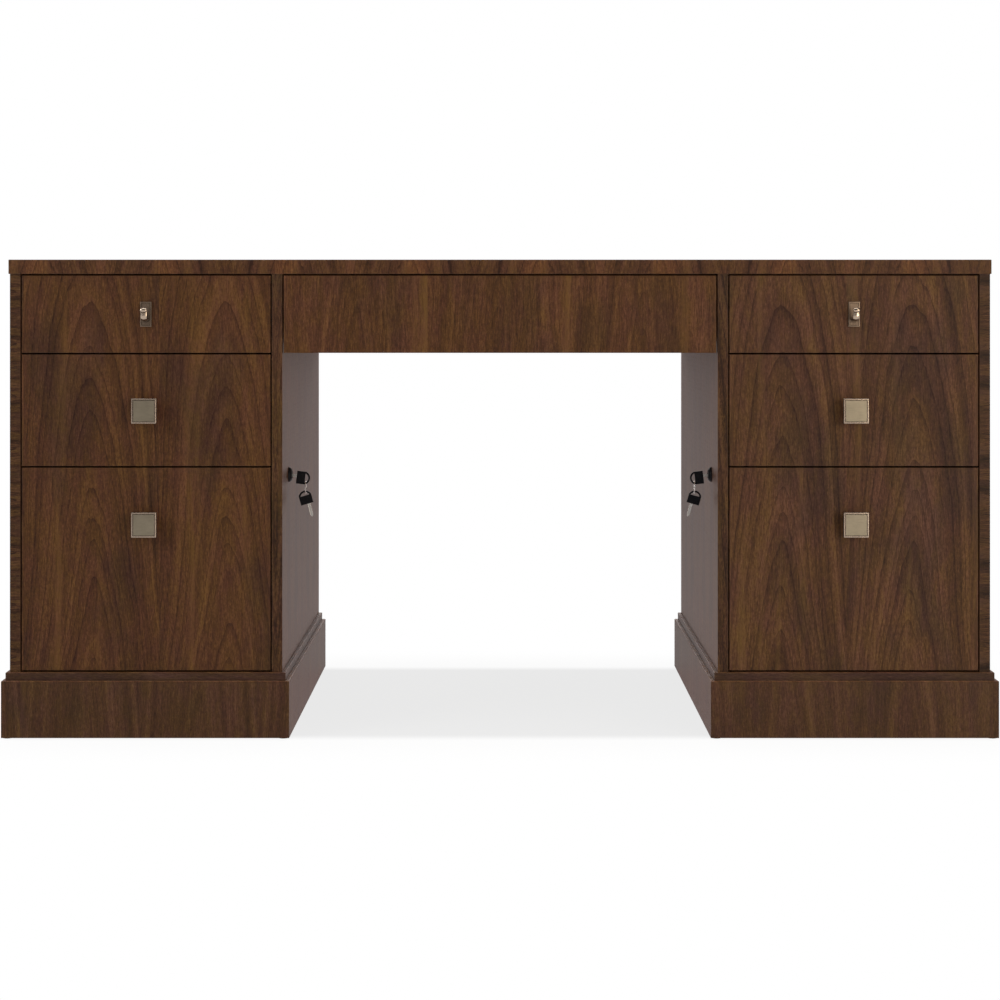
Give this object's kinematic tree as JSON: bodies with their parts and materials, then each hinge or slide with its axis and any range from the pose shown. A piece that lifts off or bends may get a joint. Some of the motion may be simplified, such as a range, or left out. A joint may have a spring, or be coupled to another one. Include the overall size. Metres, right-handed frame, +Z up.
{
  "type": "pedestal desk",
  "caption": "Walnut pedestal desk with inset drawers on stepped plinths, a shallow drawer over an open kneehole, and side locks with keys.",
  "frame": {"origin": "on the floor under the middle of the part's box", "axes": "+X to the right seen from the front, +Y to the back, +Z up; the drawers open towards -Y"},
  "size_m": [1.6, 0.782, 0.768],
  "materials": {
    "walnut_veneer": "satin lacquered walnut veneer",
    "drawer_wood": "clear lacquered maple",
    "case_wood": "plain plywood and hardwood rails",
    "champagne_brass": "satin brushed champagne brass",
    "zinc_steel": "zinc plated",
    "black_metal": "satin black",
    "lock_plug_metal": "blackened face, bright cam",
    "key_plastic": "moulded black bow on a nickel blade",
    "nickel_wire": "nickel plated wire",
    "glide_nylon": "dark nylon"
  },
  "bodies": {
    "carcass": {"desk_top": "walnut_veneer", "kneehole_apron": "walnut_veneer", "floor_glides": "glide_nylon", "top_rails": "case_wood", "top_screws": "zinc_steel", "cabinet_runners": "zinc_steel", "left_outer_side": "walnut_veneer", "right_outer_side": "walnut_veneer", "left_inner_side": "walnut_veneer", "right_inner_side": "walnut_veneer", "left_back_panel": "walnut_veneer", "right_back_panel": "walnut_veneer", "left_bottom_panel": "case_wood", "right_bottom_panel": "case_wood", "left_plinth": "walnut_veneer", "right_plinth": "walnut_veneer", "left_plinth_cap": "walnut_veneer", "right_plinth_cap": "walnut_veneer", "left_lock_housing": "black_metal", "right_lock_housing": "black_metal"},
    "left_top_drawer": {"left_top_drawer_front": "walnut_veneer", "left_top_drawer_box": "drawer_wood", "left_top_drawer_runners": "zinc_steel", "left_top_drawer_pull": "champagne_brass"},
    "left_middle_drawer": {"left_middle_drawer_front": "walnut_veneer", "left_middle_drawer_box": "drawer_wood", "left_middle_drawer_runners": "zinc_steel", "left_middle_drawer_pull": "champagne_brass"},
    "left_file_drawer": {"left_file_drawer_front": "walnut_veneer", "left_file_drawer_box": "drawer_wood", "left_file_drawer_runners": "zinc_steel", "left_file_drawer_pull": "champagne_brass", "left_file_rails": "zinc_steel"},
    "right_top_drawer": {"right_top_drawer_front": "walnut_veneer", "right_top_drawer_box": "drawer_wood", "right_top_drawer_runners": "zinc_steel", "right_top_drawer_pull": "champagne_brass"},
    "right_middle_drawer": {"right_middle_drawer_front": "walnut_veneer", "right_middle_drawer_box": "drawer_wood", "right_middle_drawer_runners": "zinc_steel", "right_middle_drawer_pull": "champagne_brass"},
    "right_file_drawer": {"right_file_drawer_front": "walnut_veneer", "right_file_drawer_box": "drawer_wood", "right_file_drawer_runners": "zinc_steel", "right_file_drawer_pull": "champagne_brass", "right_file_rails": "zinc_steel"},
    "centre_drawer": {"centre_drawer_front": "walnut_veneer", "centre_drawer_box": "drawer_wood", "centre_drawer_runners": "zinc_steel"},
    "left_file_slide": {"left_file_middle_runners": "zinc_steel"},
    "left_lock": {"left_lock_plug": "lock_plug_metal", "left_lock_key": "key_plastic"},
    "left_ring": {"left_key_ring": "nickel_wire"},
    "left_spare": {"left_spare_key": "key_plastic"},
    "right_file_slide": {"right_file_middle_runners": "zinc_steel"},
    "right_lock": {"right_lock_plug": "lock_plug_metal", "right_lock_key": "key_plastic"},
    "right_ring": {"right_key_ring": "nickel_wire"},
    "right_spare": {"right_spare_key": "key_plastic"}
  },
  "joints": [
    {"name": "left_top_drawer_slide", "type": "slide", "parent": "carcass", "child": "left_top_drawer", "axis": [0, -1, 0], "range_m": [0, 0.4]},
    {"name": "left_middle_drawer_slide", "type": "slide", "parent": "carcass", "child": "left_middle_drawer", "axis": [0, -1, 0], "range_m": [0, 0.4]},
    {"name": "left_file_drawer_slide", "type": "slide", "parent": "carcass", "child": "left_file_drawer", "axis": [0, -1, 0], "range_m": [0, 0.54]},
    {"name": "right_top_drawer_slide", "type": "slide", "parent": "carcass", "child": "right_top_drawer", "axis": [0, -1, 0], "range_m": [0, 0.4]},
    {"name": "right_middle_drawer_slide", "type": "slide", "parent": "carcass", "child": "right_middle_drawer", "axis": [0, -1, 0], "range_m": [0, 0.4]},
    {"name": "right_file_drawer_slide", "type": "slide", "parent": "carcass", "child": "right_file_drawer", "axis": [0, -1, 0], "range_m": [0, 0.54]},
    {"name": "centre_drawer_slide", "type": "slide", "parent": "carcass", "child": "centre_drawer", "axis": [0, -1, 0], "range_m": [0, 0.33]},
    {"name": "left_file_middle_slide", "type": "slide", "parent": "carcass", "child": "left_file_slide", "axis": [0, -1, 0], "range_m": [0, 0.27]},
    {"name": "left_lock_turn", "type": "hinge", "parent": "carcass", "child": "left_lock", "pos_m": [-0.35, -0.249, 0.415], "axis": [1, 0, 0], "range_deg": [0, 90]},
    {"name": "left_ring_hang", "type": "hinge", "parent": "left_lock", "child": "left_ring", "pos_m": [-0.32172, -0.249, 0.40067], "axis": [1, 0, 0], "range_deg": [-90, 0]},
    {"name": "left_spare_key_swing", "type": "hinge", "parent": "left_ring", "child": "left_spare", "pos_m": [-0.32172, -0.249, 0.3844], "axis": [0, 1, 0], "range_deg": [-20, 20]},
    {"name": "right_file_middle_slide", "type": "slide", "parent": "carcass", "child": "right_file_slide", "axis": [0, -1, 0], "range_m": [0, 0.27]},
    {"name": "right_lock_turn", "type": "hinge", "parent": "carcass", "child": "right_lock", "pos_m": [0.35, -0.249, 0.415], "axis": [1, 0, 0], "range_deg": [0, 90]},
    {"name": "right_ring_hang", "type": "hinge", "parent": "right_lock", "child": "right_ring", "pos_m": [0.32172, -0.249, 0.40067], "axis": [1, 0, 0], "range_deg": [-90, 0]},
    {"name": "right_spare_key_swing", "type": "hinge", "parent": "right_ring", "child": "right_spare", "pos_m": [0.32172, -0.249, 0.3844], "axis": [0, 1, 0], "range_deg": [-20, 20]}
  ],
  "couplings": [
    {"joint": "left_file_middle_slide", "follows": "left_file_drawer_slide", "ratio": 0.5},
    {"joint": "left_ring_hang", "follows": "left_lock_turn", "ratio": -1},
    {"joint": "right_file_middle_slide", "follows": "right_file_drawer_slide", "ratio": 0.5},
    {"joint": "right_ring_hang", "follows": "right_lock_turn", "ratio": -1}
  ]
}
